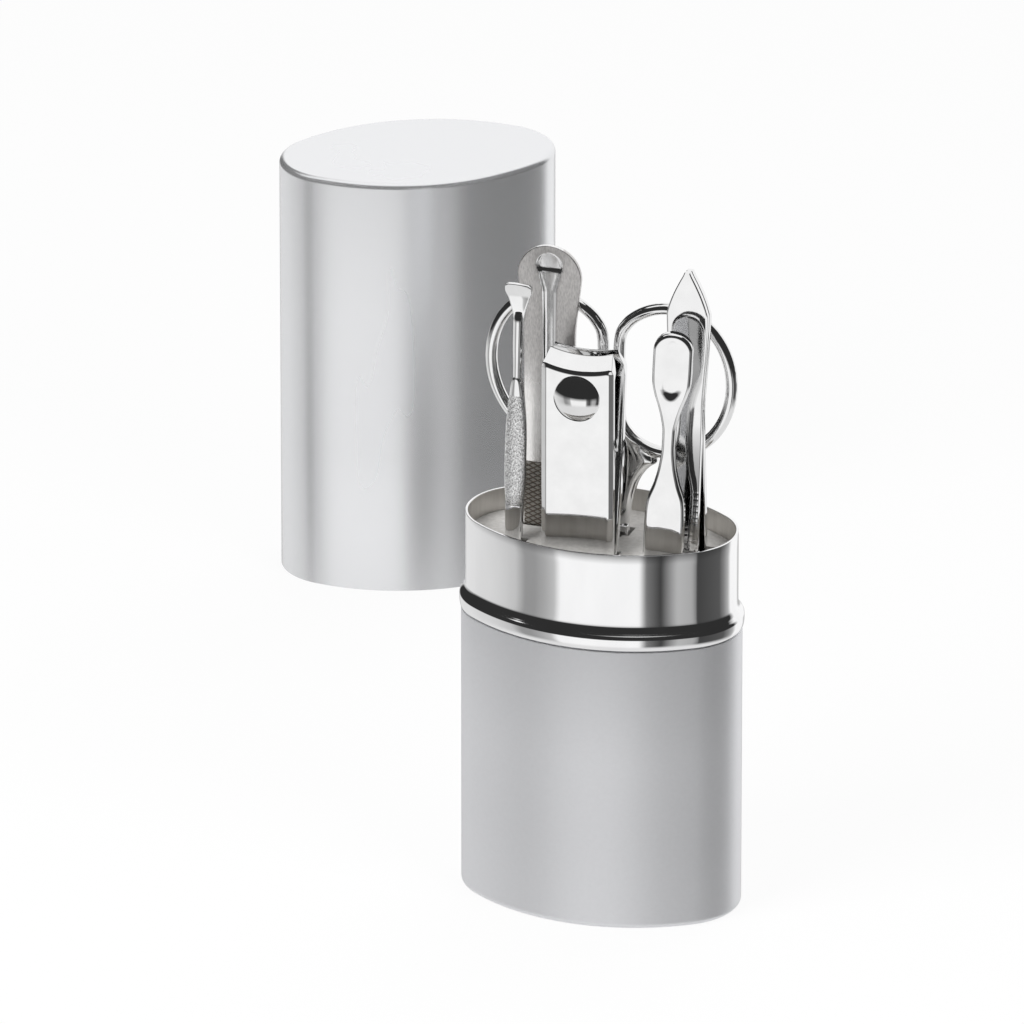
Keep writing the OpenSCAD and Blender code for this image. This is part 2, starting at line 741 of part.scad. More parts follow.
// The right half, with its lapped layer in front; the left half is this one turned round
module scissors_half() {
    web = ring_d / 2 + face_gap;
    back = -lap_low;
    front = -lap_high;
    waist_x = shank_w + waist_r;
    join_x = waist_x + (ring_x - waist_x) * waist_r / (waist_r + ring_out_r);
    join_z = split_z + (ring_low_z - split_z) * waist_r / (waist_r + ring_out_r);
    difference() {
        union() {
            upright_plate([[-blade_tip_w, -blade_len], [blade_tip_w, -blade_len], [shank_w, -disc_r],
                [shank_w, neck_z], [part_gap, neck_z], [-shank_w, disc_r], [-shank_w, -disc_r]],
                front, back);
            pin_y(disc_r, front, back);
            upright_plate([[part_gap, neck_z], [shank_w, neck_z], [shank_w, split_z], [waist_x, split_z],
                [join_x, join_z], [ring_x, ring_low_z - ring_mid_r], [part_gap + ring_d, ring_low_z],
                [part_gap, ring_low_z - ring_d]], -web, web);
            upright_plate([[part_gap, neck_z - lap_t], [shank_w, neck_z - lap_t], [shank_w, split_z],
                [part_gap, split_z]], front, back);
            finger_ring();
        }
        translate([waist_x, 0, split_z]) pin_y(waist_r, -lap_high - over, lap_high + over);
        difference() {
            ring_hole(lap_high);
            finger_ring();
        }
        pin_y(screw_shaft_r + fit_gap, -lap_high - over, lap_high + over);
    }
}

module scissors_right_half() {
    color("gainsboro") scissors_at() scissors_half();
}

module scissors_left_half() {
    color("gainsboro") scissors_at() rotate([0, 0, 180]) scissors_half();
}

module scissors_screw() {
    color("silver") scissors_at() difference() {
        union() {
            pin_y(screw_r, -lap_high - screw_head_t, -lap_high);
            pin_y(screw_shaft_r, -lap_high, lap_high);
        }
        translate([-screw_r - over, -lap_high - screw_head_t - over, -screw_shaft_r / 4])
            cube([2 * (screw_r + over), over + screw_head_t / 2, screw_shaft_r / 2]);
    }
}

base_shell();
collar();
tool_holder();
lower_insert();
lid_shell();
nail_file();
cuticle_pusher();
cuticle_trimmer();
tweezers_front_arm();
tweezers_back_arm();
clipper_front_arm();
clipper_back_arm();
clipper_tail_rivet();
clipper_post();
clipper_lever();
clipper_lever_pin();
scissors_right_half();
scissors_left_half();
scissors_screw();
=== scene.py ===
import json
import math

import bmesh
import bpy
import numpy as np
from mathutils import Matrix, Vector


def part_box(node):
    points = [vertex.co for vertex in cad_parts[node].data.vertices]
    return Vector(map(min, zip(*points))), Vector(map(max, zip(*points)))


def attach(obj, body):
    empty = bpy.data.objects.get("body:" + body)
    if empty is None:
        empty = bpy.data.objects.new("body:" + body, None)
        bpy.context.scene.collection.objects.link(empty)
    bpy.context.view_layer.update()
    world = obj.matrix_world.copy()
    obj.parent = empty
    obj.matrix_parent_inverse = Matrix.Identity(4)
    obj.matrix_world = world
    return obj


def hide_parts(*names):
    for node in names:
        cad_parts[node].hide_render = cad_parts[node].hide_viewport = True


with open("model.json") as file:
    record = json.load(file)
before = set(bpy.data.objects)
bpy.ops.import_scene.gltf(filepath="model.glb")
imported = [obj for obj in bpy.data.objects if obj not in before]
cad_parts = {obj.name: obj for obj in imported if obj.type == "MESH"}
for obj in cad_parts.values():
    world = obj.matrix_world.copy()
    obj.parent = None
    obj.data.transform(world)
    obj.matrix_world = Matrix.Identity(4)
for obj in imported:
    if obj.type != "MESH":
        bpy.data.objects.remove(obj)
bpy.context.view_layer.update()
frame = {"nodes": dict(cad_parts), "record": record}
MM = 0.001

# Where the photograph was taken from, in millimetres of the row frame, and its lens
CAMERA_PLACE = Vector((826.5, -2442.6, 1166.2)) * MM
CAMERA_LOOK = Vector((-0.2996, 0.8696, -0.3926))
CAMERA_LENS = 623


def node_box(node):
    """Lowest and highest corner of a CAD node, in millimetres."""
    low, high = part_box(node)
    return low / MM, high / MM


# Driving sizes, in millimetres, read from the frame where it gives them
base_high = node_box("base_shell")[1]
collar_low, collar_high = node_box("collar")
lid_low, lid_high = node_box("lid_shell")
HALF_W = base_high.x
HALF_D = base_high.y
BASE_TOP = base_high.z
RIM = collar_high.z
PLATE = node_box("tool_holder")[1].z
LID_H = lid_high.z
LID_TURN = math.radians(29.6)
LID_AT = ((lid_low.x + lid_high.x) / 2, (lid_low.y + lid_high.y) / 2)

# The oval is four arcs, and where they meet their centres lie on a 3-4-5 line
RUN = 0.6
RISE = 0.8
FLAT = (1 - RISE) / RUN
END_R = (HALF_D - FLAT * HALF_W) / (1 - FLAT)
END_X = HALF_W - END_R
SIDE_Y = END_X * RISE / RUN
SIDE_R = SIDE_Y + HALF_D
MEET = math.atan2(RISE, RUN)

# Points nearer than these are one point, in a form made here and in a CAD form, in millimetres
ONE_POINT = 0.0005
CAD_POINT = 0.001

# An edge shorter than this is none, in millimetres
NO_EDGE = 0.0002

# Edges sharper than this stay sharp in a form made here. Edges of a CAD form are rounded when they are
# sharper than the second angle, and joined when they are flatter than the third. All in degrees.
SHARP_ANGLE = 35
ROUNDED_ANGLE = 30
JOINED_ANGLE = 1


# Shapes

def make_piece(name, vertices, faces, materials, body, slot, nodes):
    """A piece from points in millimetres, riding on a body and standing for CAD nodes."""
    mesh = bpy.data.meshes.new(name)
    mesh.from_pydata([Vector(v) * MM for v in vertices], [], faces)
    for material in materials:
        mesh.materials.append(material)
    mesh.update()
    joined = bmesh.new()
    joined.from_mesh(mesh)
    bmesh.ops.remove_doubles(joined, verts=joined.verts, dist=ONE_POINT * MM)
    bmesh.ops.dissolve_degenerate(joined, edges=joined.edges, dist=NO_EDGE * MM)
    bmesh.ops.recalc_face_normals(joined, faces=joined.faces)
    joined.to_mesh(mesh)
    joined.free()
    for face in mesh.polygons:
        face.use_smooth = True
    mesh.set_sharp_from_angle(angle=math.radians(SHARP_ANGLE))
    piece = bpy.data.objects.new(name, mesh)
    bpy.context.scene.collection.objects.link(piece)
    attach(piece, body)
    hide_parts(*nodes)
    return piece


def oval(inset, per_arc=44):
    """Points of the oval, anticlockwise, drawn in by an inset."""
    arcs = [(END_X, 0, END_R, -MEET, MEET), (0, -SIDE_Y, SIDE_R, MEET, math.pi - MEET),
            (-END_X, 0, END_R, math.pi - MEET, math.pi + MEET),
            (0, SIDE_Y, SIDE_R, math.pi + MEET, 2 * math.pi - MEET)]
    points = []
    for cx, cy, radius, start, stop in arcs:
        for i in range(per_arc):
            a = start + (stop - start) * i / per_arc
            points.append((cx + (radius - inset) * math.cos(a), cy + (radius - inset) * math.sin(a)))
    return points


def arc(cx, cz, radius, start, stop, steps=10):
    """Points of an arc, by angles in degrees."""
    turns = [math.radians(start + (stop - start) * i / steps) for i in range(steps + 1)]
    return [(cx + radius * math.cos(a), cz + radius * math.sin(a)) for a in turns]


def ring_faces(rings, around, closed=False, capped=True):
    """Faces between rings of points. A form that isn't closed on itself can have its ends capped."""
    faces = []
    for i in range(rings if closed else rings - 1):
        for j in range(around):
            k = (j + 1) % around
            a, b = i * around, (i + 1) % rings * around
            faces.append((a + j, a + k, b + k, b + j))
    if capped and not closed:
        faces.append(tuple(range(around)))
        faces.append(tuple(range((rings - 1) * around, rings * around)))
    return faces


def oval_form(profile, closed, at=(0, 0), turn=0):
    """Carries a profile of (inset, height) round the oval; an open one is capped at both ends."""
    vertices = []
    c, s = math.cos(turn), math.sin(turn)
    for inset, z in profile:
        for x, y in oval(inset):
            vertices.append((at[0] + x * c - y * s, at[1] + x * s + y * c, z))
    return vertices, ring_faces(len(profile), len(oval(0)), closed)


def eased(points, at):
    """A smooth curve through control points (height, value), read at some heights."""
    z = np.array([p[0] for p in points], float)
    v = np.array([p[1] for p in points], float)
    step = np.diff(z)
    rise = np.diff(v) / step
    slope = np.zeros(len(z))
    slope[0], slope[-1] = rise[0], rise[-1]
    for i in range(1, len(z) - 1):
        if rise[i - 1] * rise[i] > 0:
            near, far = 2 * step[i] + step[i - 1], step[i] + 2 * step[i - 1]
            slope[i] = (near + far) / (near / rise[i - 1] + far / rise[i])
    at = np.clip(np.asarray(at, float), z[0], z[-1])
    i = np.clip(np.searchsorted(z, at, side="right") - 1, 0, len(step) - 1)
    t = (at - z[i]) / step[i]
    t2, t3 = t * t, t * t * t
    return ((2 * t3 - 3 * t2 + 1) * v[i] + (t3 - 2 * t2 + t) * step[i] * slope[i]
            + (3 * t2 - 2 * t3) * v[i + 1] + (t3 - t2) * step[i] * slope[i + 1])


def stacked(*stretches):
    """Heights in stretches of (from, to, count), with each height once."""
    parts = [np.linspace(*stretch) for stretch in stretches]
    return np.concatenate(parts[:1] + [part[1:] for part in parts[1:]])


def rise(value, width):
    """0 outside, 1 from a width inside, smooth between."""
    t = np.clip(value / width, 0, 1)
    return t * t * (3 - 2 * t)


def edge_distance(x, z, rows, halves):
    """How far each point of a leaf lies inside its outline."""
    right = np.stack([halves, rows], 1)
    line = np.concatenate([right, (right * [-1, 1])[::-1], right[:1]])
    a, b = line[:-1], line[1:]
    along = b - a
    length = np.maximum((along ** 2).sum(1), 1e-12)
    points = np.stack([x.ravel(), z.ravel()], 1)
    best = np.full(len(points), 1e9)
    for i in range(len(a)):
        offset = points - a[i]
        t = np.clip(offset @ along[i] / length[i], 0, 1)
        best = np.minimum(best, np.hypot(*(offset - t[:, None] * along[i]).T))
    return best.reshape(x.shape)


def leaf(rows, halves, thick, rounding, front=None, back=None, columns=40):
    """A flat form in front view: heights, half widths there, a thickness and a rounded edge.
    front and back give how far each face is drawn in at a point, and the front faces -Y at y = 0."""
    rows, halves = np.asarray(rows, float), np.asarray(halves, float)
    share = np.sin(np.linspace(-math.pi / 2, math.pi / 2, columns + 1))
    x = halves[:, None] * share[None, :]
    z = np.repeat(rows[:, None], columns + 1, 1)
    inside = np.minimum(edge_distance(x, z, rows, halves), rounding)
    drawn = rounding - np.sqrt(np.maximum(rounding ** 2 - (rounding - inside) ** 2, 0))
    near = drawn + (front(x, z) if front else 0)
    far = thick - drawn - (back(x, z) if back else 0)
    across = columns + 1
    count = len(rows) * across
    vertices = list(zip(x.ravel(), near.ravel(), z.ravel())) + list(zip(x.ravel(), far.ravel(), z.ravel()))
    faces = []
    for i in range(len(rows) - 1):
        for j in range(columns):
            a, b = i * across + j, (i + 1) * across + j
            faces.append((a, a + 1, b + 1, b))
            faces.append((count + a, count + b, count + b + 1, count + a + 1))
        for j in (0, columns):
            a, b = i * across + j, (i + 1) * across + j
            faces.append((a, b, count + b, count + a))
    for i in (0, len(rows) - 1):
        for j in range(columns):
            a = i * across + j
            faces.append((a, count + a, count + a + 1, a + 1))
    return vertices, faces


def tube(path, radius, sides=24, closed=False):
    """A round bar along a path in the X-Z plane."""
    path = [np.array(p, float) for p in path]
    vertices = []
    count = len(path)
    for i, p in enumerate(path):
        before = path[i - 1] if closed or i else p
        after = path[(i + 1) % count] if closed or i < count - 1 else p
        along = (after - before) / np.linalg.norm(after - before)
        out = np.array([along[1], -along[0]])
        r = radius[i] if isinstance(radius, (list, np.ndarray)) else radius
        for j in range(sides):
            a = 2 * math.pi * j / sides
            side = p + out * r * math.cos(a)
            vertices.append((side[0], r * math.sin(a), side[1]))
    return vertices, ring_faces(count, sides, closed)


def turned(profile, sides=64):
    """A round form about the Y axis, from (radius, y) points."""
    vertices = []
    for r, y in profile:
        for j in range(sides):
            a = 2 * math.pi * j / sides
            vertices.append((r * math.cos(a), y, r * math.sin(a)))
    return vertices, ring_faces(len(profile), sides, capped=False)


def joined_forms(*forms):
    """Several forms as one."""
    vertices, faces = [], []
    for some, over in forms:
        start = len(vertices)
        vertices += list(some)
        faces += [tuple(start + i for i in face) for face in over]
    return vertices, faces


def shifted(form, x=0, y=0, z=0):
    """Moves a form along the axes."""
    return [(v[0] + x, v[1] + y, v[2] + z) for v in form[0]], form[1]


def placed(form, at, lean=0, turn=0, about=0):
    """Leans a form to the right about a height, turns it about the upright and moves it to its place."""
    vertices, faces = form
    spot = Matrix.Translation(Vector((at[0], at[1], about))) @ Matrix.Rotation(math.radians(turn), 4, "Z")
    spot = spot @ Matrix.Rotation(math.radians(lean), 4, "Y") @ Matrix.Translation(Vector((0, 0, -about)))
    return [spot @ Vector(v) for v in vertices], faces


def paint(piece, chooser):
    """Gives each face the material that a rule picks by its middle, in millimetres, and its normal."""
    for face in piece.data.polygons:
        face.material_index = chooser(face.center / MM, face.normal)


def dressed(name, node, body, material, bevel):
    """A CAD node's own form with its edges rounded."""
    mesh = frame["nodes"][node].data.copy()
    mesh.name = name
    tidy = bmesh.new()
    tidy.from_mesh(mesh)
    bmesh.ops.remove_doubles(tidy, verts=tidy.verts, dist=CAD_POINT * MM)
    bmesh.ops.dissolve_limit(tidy, angle_limit=math.radians(JOINED_ANGLE), verts=tidy.verts, edges=tidy.edges)
    tidy.to_mesh(mesh)
    tidy.free()
    mesh.materials.clear()
    mesh.materials.append(material)
    for face in mesh.polygons:
        face.use_smooth = True
    piece = bpy.data.objects.new(name, mesh)
    bpy.context.scene.collection.objects.link(piece)
    rounding = piece.modifiers.new("rounded_edges", "BEVEL")
    rounding.width = bevel * MM
    rounding.segments = 3
    rounding.limit_method = "ANGLE"
    rounding.angle_limit = math.radians(ROUNDED_ANGLE)
    rounding.harden_normals = True
    rounding.use_clamp_overlap = True
    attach(piece, body)
    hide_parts(node)


# Materials

def new_material(name):
    """A material with its nodes and links."""
    material = bpy.data.materials.new(name)
    material.use_nodes = True
    return material, material.node_tree.nodes, material.node_tree.links


def noise(nodes, links, scale, detail=2.0, stretch=(1, 1, 1)):
    """A noise fixed to the object, with its scale in metres and stretched along an axis."""
    place = nodes.new("ShaderNodeTexCoord")
    mapping = nodes.new("ShaderNodeMapping")
    mapping.inputs["Scale"].default_value = stretch
    texture = nodes.new("ShaderNodeTexNoise")
    texture.inputs["Scale"].default_value = scale
    texture.inputs["Detail"].default_value = detail
    links.new(place.outputs["Object"], mapping.inputs["Vector"])
    links.new(mapping.outputs["Vector"], texture.inputs["Vector"])
    return texture.outputs["Fac"]


def ranged(nodes, links, source, low, high, start=0.3, stop=0.7):
    """Maps a pattern to a range."""
    scale = nodes.new("ShaderNodeMapRange")
    scale.inputs["From Min"].default_value = start
    scale.inputs["From Max"].default_value = stop
    scale.inputs["To Min"].default_value = low
    scale.inputs["To Max"].default_value = high
    links.new(source, scale.inputs["Value"])
    return scale.outputs["Result"]


def tinted(nodes, links, source, low, high, start=0.3, stop=0.7):
    """A colour between two, by a pattern."""
    ramp = nodes.new("ShaderNodeValToRGB")
    ends = ramp.color_ramp.elements
    ends[0].position, ends[0].color = start, (*low, 1)
    ends[1].position, ends[1].color = stop, (*high, 1)
    links.new(source, ramp.inputs["Fac"])
    return ramp.outputs["Color"]


def blended(nodes, links, share, low, high):
    """Goes from one colour to another by a share."""
    mixed = nodes.new("ShaderNodeMix")
    mixed.data_type = "RGBA"
    links.new(share, mixed.inputs["Factor"])
    for name, source in (("A", low), ("B", high)):
        if isinstance(source, float):
            mixed.inputs[name].default_value = (source, source, source, 1)
        else:
            links.new(source, mixed.inputs[name])
    return mixed.outputs["Result"]


def bumped(nodes, links, shader, source, depth):
    """Raises the surface by a pattern, to a depth in metres."""
    height = nodes.new("ShaderNodeBump")
    height.inputs["Strength"].default_value = 1
    height.inputs["Distance"].default_value = depth
    links.new(source, height.inputs["Height"])
    links.new(height.outputs["Normal"], shader.inputs["Normal"])


def metal(name, dark, light, rough, grain, stretch, fine, depth, metallic=1.0):
    """A metal whose colour and roughness vary with a grain, over a fine relief."""
    material, nodes, links = new_material(name)
    shader = nodes["Principled BSDF"]
    shader.inputs["Metallic"].default_value = metallic
    pattern = noise(nodes, links, grain, 3.0, stretch)
    links.new(tinted(nodes, links, pattern, dark, light), shader.inputs["Base Color"])
    links.new(ranged(nodes, links, pattern, *rough), shader.inputs["Roughness"])
    bumped(nodes, links, shader, noise(nodes, links, fine, 2.0, stretch), depth)
    return material


def paper(name, dark, light, rough, grain, depth):
    """A matte moulded surface, slightly mottled."""
    material, nodes, links = new_material(name)
    shader = nodes["Principled BSDF"]
    shader.inputs["Roughness"].default_value = rough
    pattern = noise(nodes, links, grain, 4.0)
    links.new(tinted(nodes, links, pattern, dark, light), shader.inputs["Base Color"])
    bumped(nodes, links, shader, pattern, depth)
    return material


# The file: the slant of its cuts in degrees, their wave scale and their depth in metres
CUT_SLANT = 28
CUT_LINES = 430
CUT_DEPTH = 0.00006

# Where its darker ground head begins and is whole, and how unevenly it begins, in metres. This brightness
# edge is a painted reflection.
GROUND_SHEEN_FROM = 0.084
GROUND_SHEEN_WHOLE = 0.0945
GROUND_SHEEN_UNEVEN = 0.006


def file_cut():
    """Criss-cross cuts of a file: two sets of slanting lines, darker in the grooves as painted shade."""
    material, nodes, links = new_material("file_cut")
    shader = nodes["Principled BSDF"]
    shader.inputs["Metallic"].default_value = 1
    shader.inputs["Roughness"].default_value = 0.45
    place = nodes.new("ShaderNodeTexCoord")
    sets = []
    for slant in (CUT_SLANT, -CUT_SLANT):
        turn = nodes.new("ShaderNodeMapping")
        turn.inputs["Rotation"].default_value = (0, math.radians(slant), 0)
        lines = nodes.new("ShaderNodeTexWave")
        lines.bands_direction = "Z"
        lines.inputs["Scale"].default_value = CUT_LINES
        lines.inputs["Distortion"].default_value = 0.4
        links.new(place.outputs["Object"], turn.inputs["Vector"])
        links.new(turn.outputs["Vector"], lines.inputs["Vector"])
        sets.append(lines.outputs["Fac"])
    crossed = nodes.new("ShaderNodeMath")
    crossed.operation = "MINIMUM"
    links.new(sets[0], crossed.inputs[0])
    links.new(sets[1], crossed.inputs[1])
    cuts = crossed.outputs["Value"]
    # Painted shade: the colour darkens where the cuts sink
    links.new(tinted(nodes, links, cuts, (0.22, 0.19, 0.16), (0.55, 0.53, 0.5), 0.02, 0.3),
              shader.inputs["Base Color"])
    bumped(nodes, links, shader, ranged(nodes, links, cuts, 0, 1, 0, 0.4), CUT_DEPTH)
    return material


def file_steel_painted_sheen():
    """Bright plain steel below, and a darker ground head with a fine upright grain; one runs into the other.
    The grain is the steel's own, and the step from bright to dark is a painted reflection.
    """
    material, nodes, links = new_material("file_steel_painted_sheen")
    shader = nodes["Principled BSDF"]
    shader.inputs["Metallic"].default_value = 1
    place = nodes.new("ShaderNodeTexCoord")
    split = nodes.new("ShaderNodeSeparateXYZ")
    links.new(place.outputs["Object"], split.inputs["Vector"])
    grain = noise(nodes, links, 5200, 4.0, (1, 1, 0.3))
    patch = noise(nodes, links, 260, 2.0)
    uneven = nodes.new("ShaderNodeMath")
    uneven.operation = "MULTIPLY_ADD"
    links.new(patch, uneven.inputs[0])
    uneven.inputs[1].default_value = GROUND_SHEEN_UNEVEN
    links.new(split.outputs["Z"], uneven.inputs[2])
    # Painted reflection: the darker head and its uneven edge above the brighter plain steel
    ground_and_sheen = ranged(nodes, links, uneven.outputs["Value"], 0, 1, GROUND_SHEEN_FROM, GROUND_SHEEN_WHOLE)
    head = tinted(nodes, links, grain, (0.6, 0.585, 0.575), (0.84, 0.82, 0.805))
    plain = tinted(nodes, links, grain, (0.82, 0.805, 0.79), (0.9, 0.885, 0.87))
    links.new(blended(nodes, links, ground_and_sheen, plain, head), shader.inputs["Base Color"])
    links.new(ranged(nodes, links, ground_and_sheen, 0.16, 0.4, 0, 1), shader.inputs["Roughness"])
    bumped(nodes, links, shader, grain, 0.000005)
    return material


def sparkle():
    """A coarse blasted surface that glitters."""
    material, nodes, links = new_material("blasted_steel")
    shader = nodes["Principled BSDF"]
    shader.inputs["Metallic"].default_value = 1
    pattern = noise(nodes, links, 4300, 4.0, (1, 1, 0.6))
    links.new(tinted(nodes, links, pattern, (0.6, 0.6, 0.6), (0.97, 0.97, 0.97), 0.35, 0.6),
              shader.inputs["Base Color"])
    shader.inputs["Roughness"].default_value = 0.16
    bumped(nodes, links, shader, pattern, 0.0001)
    return material


SATIN = metal("satin_aluminium", dark=(0.83, 0.835, 0.855), light=(0.85, 0.855, 0.875), rough=(0.44, 0.47),
              grain=1500, stretch=(1, 1, 1), fine=2500, depth=0.0000003, metallic=0.77)
LID_SATIN = metal("satin_lid", dark=(0.83, 0.835, 0.85), light=(0.85, 0.855, 0.87), rough=(0.23, 0.29),
                  grain=40, stretch=(1, 1, 0.2), fine=2500, depth=0.0000002, metallic=0.8)
POLISHED = metal("polished_steel", dark=(0.84, 0.84, 0.84), light=(0.9, 0.9, 0.9), rough=(0.04, 0.08),
                 grain=300, stretch=(1, 1, 1), fine=400, depth=0.0000005)
CHROME = metal("chrome_collar", dark=(0.88, 0.88, 0.885), light=(0.93, 0.93, 0.935), rough=(0.04, 0.08),
               grain=200, stretch=(1, 1, 0.3), fine=160, depth=0.000004)
# The collar's inside: its roughness is its own, and its darker beige-tinted colour is painted shade and a
# painted reflection of the insert
INNER_PAINTED_SHADE = metal("drawn_inside_painted_shade", dark=(0.66, 0.64, 0.61), light=(0.78, 0.76, 0.73), rough=(0.4, 0.5),
              grain=900, stretch=(1, 1, 0.1), fine=1500, depth=0.000006)
GROUND_PAINTED_SHEEN = file_steel_painted_sheen()
PRESSED = metal("pressed_steel", dark=(0.84, 0.84, 0.84), light=(0.92, 0.92, 0.92), rough=(0.12, 0.2),
                grain=1500, stretch=(1, 1, 0.3), fine=1500, depth=0.000002)
CUT = file_cut()
BLASTED = sparkle()
INSERT = paper("white_insert", dark=(0.62, 0.605, 0.58), light=(0.76, 0.745, 0.72), rough=0.6, grain=1400,
               depth=0.00003)

finishes = {"shell": SATIN, "collar": CHROME, "insert": INSERT, "file": GROUND_PAINTED_SHEEN, "tool_steel": POLISHED}
slots = {part["node"]: part["material_slot"] for part in frame["record"]["subparts"]}
for node, thing in frame["nodes"].items():
    for place in thing.material_slots:
        place.material = finishes[slots[node]]


# The base shell: a cup with a rounded foot, and EDGE the small rounding of its sheet edges
EDGE = 0.1
WALL = 1.0
FOOT = 1.0
base_profile = [(FOOT + EDGE, 0)] + [(FOOT - x, z) for x, z in arc(0, FOOT, FOOT, -90, 0)]
base_profile += [(0, BASE_TOP * share) for share in (0.3, 0.6)]
base_profile += [(EDGE - x, z) for x, z in arc(0, BASE_TOP - EDGE, EDGE, 0, 90, 4)]
base_profile += [(WALL - EDGE + x, z) for x, z in arc(0, BASE_TOP - EDGE, EDGE, 90, 0, 4)]
base_profile += [(WALL, FOOT + EDGE), (WALL + EDGE, FOOT)]
make_piece("base_cup", *oval_form(base_profile, False), [SATIN], "case", "shell", ["base_shell"])

# The collar: a bead on the seam, a hollow curve above it and a thin upright wall
OUT = 0.7
SHEET = 0.4
SLEEVE = 1.05
FLARE_TOP = 4.9

# Height above the seam, and how far the surface lies in from the base shell's
bead = [(0, 0.4), (0.2, 0.38), (0.3, 0), (0.42, -0.14), (1.6, -0.29), (2.25, -0.28), (2.6, -0.16),
        (2.95, 0.12), (3.3, 0.4), (3.7, 0.58), (4.2, 0.67), (FLARE_TOP, OUT)]
bead_heights = np.linspace(FLARE_TOP, 0, 80)
sleeve_in = SLEEVE + SHEET
lip = SHEET / 6
collar_profile = [(sleeve_in, collar_low.z), (sleeve_in, BASE_TOP + SHEET)]
collar_profile += [(OUT + SHEET, BASE_TOP + SHEET + lip)]
collar_profile += [(OUT + SHEET, RIM * share + BASE_TOP * (1 - share)) for share in (0.35, 0.7)]
collar_profile += [(OUT + SHEET - lip + x, z) for x, z in arc(0, RIM - lip, lip, 0, 90, 4)]
collar_profile += [(OUT + lip - x, z) for x, z in arc(0, RIM - lip, lip, 90, 0, 4)]
collar_profile += [(OUT, RIM * share + (BASE_TOP + FLARE_TOP) * (1 - share)) for share in (0.8, 0.5, 0.2)]
collar_profile += [(float(inset), BASE_TOP + z) for inset, z in zip(eased(bead, bead_heights), bead_heights)]
collar_profile += [(SLEEVE, BASE_TOP), (SLEEVE, collar_low.z)]
collar_form = oval_form(collar_profile, True)
collar = make_piece("collar_sheet", *collar_form, [CHROME, INNER_PAINTED_SHADE], "case", "collar", ["collar"])


def inner_face(middle, normal):
    """The collar's inside is rougher drawn metal whose darker, beige-tinted colour is painted shade and a
    painted reflection of the insert, and the rest is chrome.
    """
    inward = normal.x * middle.x + normal.y * middle.y < 0
    return int(inward and middle.z > BASE_TOP + 1 and abs(normal.z) < 0.5)


paint(collar, inner_face)

# The lid: a taller cup, upside down and turned from the base
LID_WALL = 0.6
LID_ROUND = 1.0
LID_TOP_T = 1.0
lid_profile = [(LID_ROUND + EDGE, LID_H)]
lid_profile += [(LID_ROUND - x, z) for x, z in arc(0, LID_H - LID_ROUND, LID_ROUND, 90, 0, 12)]
lid_profile += [(0, LID_H * share) for share in (0.66, 0.33)]
lid_profile += [(EDGE - x, z) for x, z in arc(0, EDGE, EDGE, 0, -90, 4)]
lid_profile += [(LID_WALL - EDGE + x, z) for x, z in arc(0, EDGE, EDGE, -90, 0, 4)]
lid_profile += [(LID_WALL, LID_H - LID_TOP_T - EDGE), (LID_WALL + EDGE, LID_H - LID_TOP_T)]
lid_form = oval_form(lid_profile, False, LID_AT, LID_TURN)
make_piece("lid_cup", *lid_form, [LID_SATIN], "lid", "shell", ["lid_shell"])

# The nail file: ground head with a pressed groove, blank middle and cut blade
file_low, file_high = node_box("nail_file")
FILE_AT = ((file_low.x + file_high.x) / 2, file_low.y)
FILE_T = file_high.y - file_low.y
FILE_HEAD = (file_high.x - file_low.x) / 2
FILE_HALF = 4.25
FILE_EDGE = 0.12
CUT_TOP = 70.8
SCOOP_R = 2.25
SCOOP_BELOW = 3.35
GROOVE_LEN = 16
head_z = file_high.z - FILE_HEAD
press_z = file_high.z - SCOOP_BELOW
neck_z = press_z - 2 * SCOOP_R
groove_end = press_z - GROOVE_LEN
fine_from = groove_end - 2
file_rows = np.concatenate([file_low.z + FILE_HALF * (1 - np.cos(np.linspace(0, math.pi / 2, 24))),
                            stacked((file_low.z + FILE_HALF, fine_from, 30), (fine_from, head_z, 120))[1:],
                            head_z + FILE_HEAD * np.sin(np.linspace(0, math.pi / 2, 70))[1:]])


def file_half(z):
    """Half the file's width at a height."""
    if z < file_low.z + FILE_HALF:
        return math.sqrt(max(FILE_HALF ** 2 - (file_low.z + FILE_HALF - z) ** 2, 0))
    if z > head_z:
        return math.sqrt(max(FILE_HEAD ** 2 - (z - head_z) ** 2, 0))
    widening = head_z - 2 * FILE_HEAD
    return float(eased([(file_low.z, FILE_HALF), (widening, FILE_HALF), (head_z, FILE_HEAD)], z))


def file_press(x, z):
    """The pressed groove: a scoop at the top, a neck and a long channel."""
    top = np.sqrt(np.maximum(SCOOP_R ** 2 - (z - press_z) ** 2, 0))
    foot = np.sqrt(np.maximum((SCOOP_R / 2) ** 2 - (groove_end - z) ** 2, 0))
    half = np.where(z > press_z, top, np.interp(z, [neck_z, press_z], [SCOOP_R / 2, SCOOP_R]))
    half = np.where(z < groove_end, foot, half)
    heights = [groove_end, neck_z, press_z - 1.1, press_z - 0.5, file_high.z - 1]
    floor = np.interp(z, heights, [0.2, 0.24, 0.22, 0.5, 0.04])
    return floor * rise(half - np.abs(x), 0.5)


file_form = leaf(file_rows, [file_half(z) for z in file_rows], FILE_T, FILE_EDGE, file_press, None, 64)
nail_file = make_piece("file_blade", *placed(file_form, FILE_AT), [GROUND_PAINTED_SHEEN, CUT, PRESSED], "nail_file", "file",
                       ["nail_file"])


def file_zone(middle, normal):
    """Pressed steel in the groove, cuts on the blade's faces, and elsewhere ground steel whose bright-to-dark
    step is a painted reflection.
    """
    sunk = 0.02 < middle.y - FILE_AT[1] < FILE_T * 0.8
    if sunk and middle.z > groove_end - 1 and abs(middle.x - FILE_AT[0]) < SCOOP_R:
        return 2
    return int(middle.z < CUT_TOP and abs(normal.y) > 0.9)


paint(nail_file, file_zone)

